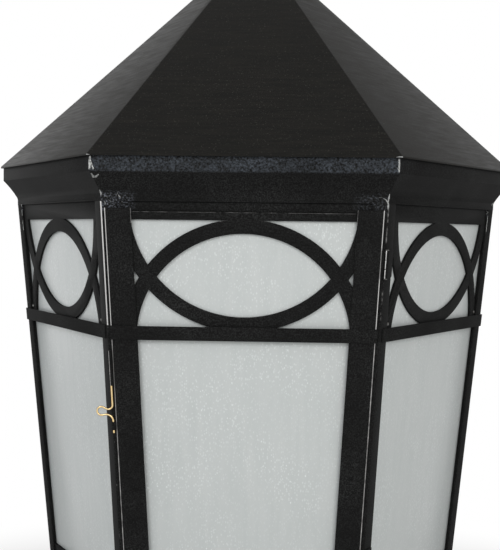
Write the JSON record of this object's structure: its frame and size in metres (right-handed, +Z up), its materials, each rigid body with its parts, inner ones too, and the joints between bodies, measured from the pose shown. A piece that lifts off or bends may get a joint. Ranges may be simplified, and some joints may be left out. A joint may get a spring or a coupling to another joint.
{
  "type": "post top lantern",
  "caption": "Six-sided tapering post top lantern with arched tracery over white seedy glass, a hinged front door with a sliding wire latch and a post fitter.",
  "frame": {"origin": "centre of the post fitter's mouth, on the lantern's axis", "axes": "+Z up along the axis, -Y out of the door in front, +X to the right seen from the front, through a corner"},
  "size_m": [0.61, 0.5282, 0.9295],
  "materials": {
    "roof_paint": "smooth satin black paint",
    "frame_paint": "fine textured black powder coat, worn bright along sheet edges",
    "seedy_glass": "white translucent seedy glass, smooth outside",
    "brass": "bright drawn wire",
    "hinge_steel": "dull plated steel with paint in its joints",
    "zinc_steel": "zinc plated",
    "lamp_glass": "frosted",
    "socket_ceramic": "glazed"
  },
  "bodies": {
    "lantern": {"base_pan": "frame_paint", "bottom_ring": "frame_paint", "corner_post_1": "frame_paint", "corner_post_2": "frame_paint", "corner_post_3": "frame_paint", "corner_post_4": "frame_paint", "corner_post_5": "frame_paint", "corner_post_6": "frame_paint", "cornice_moulding": "frame_paint", "door_header": "frame_paint", "door_sill": "frame_paint", "finial": "roof_paint", "finial_nut": "zinc_steel", "finial_stud": "zinc_steel", "fitter_flange": "frame_paint", "fitter_set_screws": "zinc_steel", "glass_clips": "zinc_steel", "glass_pane_1": "seedy_glass", "glass_pane_2": "seedy_glass", "glass_pane_3": "seedy_glass", "glass_pane_4": "seedy_glass", "glass_pane_5": "seedy_glass", "hinge_body_leaf_lower": "hinge_steel", "hinge_body_leaf_upper": "hinge_steel", "hinge_pins": "hinge_steel", "lamp_bulb": "lamp_glass", "lamp_socket": "socket_ceramic", "lamp_stem": "zinc_steel", "lamp_tray": "frame_paint", "latch_sleeve": "frame_paint", "mid_band_1": "frame_paint", "mid_band_2": "frame_paint", "mid_band_3": "frame_paint", "mid_band_4": "frame_paint", "mid_band_5": "frame_paint", "post_fitter": "frame_paint", "roof_apex_cap": "roof_paint", "roof_brackets": "zinc_steel", "roof_screws": "zinc_steel", "roof_shell": "roof_paint", "socket_cup": "zinc_steel", "stem_nuts": "zinc_steel", "top_ring": "frame_paint", "tracery_panel_1": "frame_paint", "tracery_panel_2": "frame_paint", "tracery_panel_3": "frame_paint", "tracery_panel_4": "frame_paint", "tracery_panel_5": "frame_paint", "tracery_rivets": "zinc_steel"},
    "door": {"door_clips": "zinc_steel", "door_glass": "seedy_glass", "door_latch_eye": "frame_paint", "door_mid_band": "frame_paint", "door_stile_left": "frame_paint", "door_stile_right": "frame_paint", "door_tracery": "frame_paint", "hinge_door_leaf_upper": "hinge_steel", "hinge_door_leaf_lower": "hinge_steel"},
    "latch": {"latch_wire": "brass"}
  },
  "joints": [
    {"name": "door_hinge", "type": "hinge", "parent": "lantern", "child": "door", "pos_m": [0.14329, -0.24819, 0.57274], "axis": [0.0493, -0.0854, 0.9951], "range_deg": [0, 115]},
    {"name": "latch_slide", "type": "slide", "parent": "lantern", "child": "latch", "axis": [-0.0493, -0.0854, 0.9951], "range_m": [0, 0.016]}
  ]
}
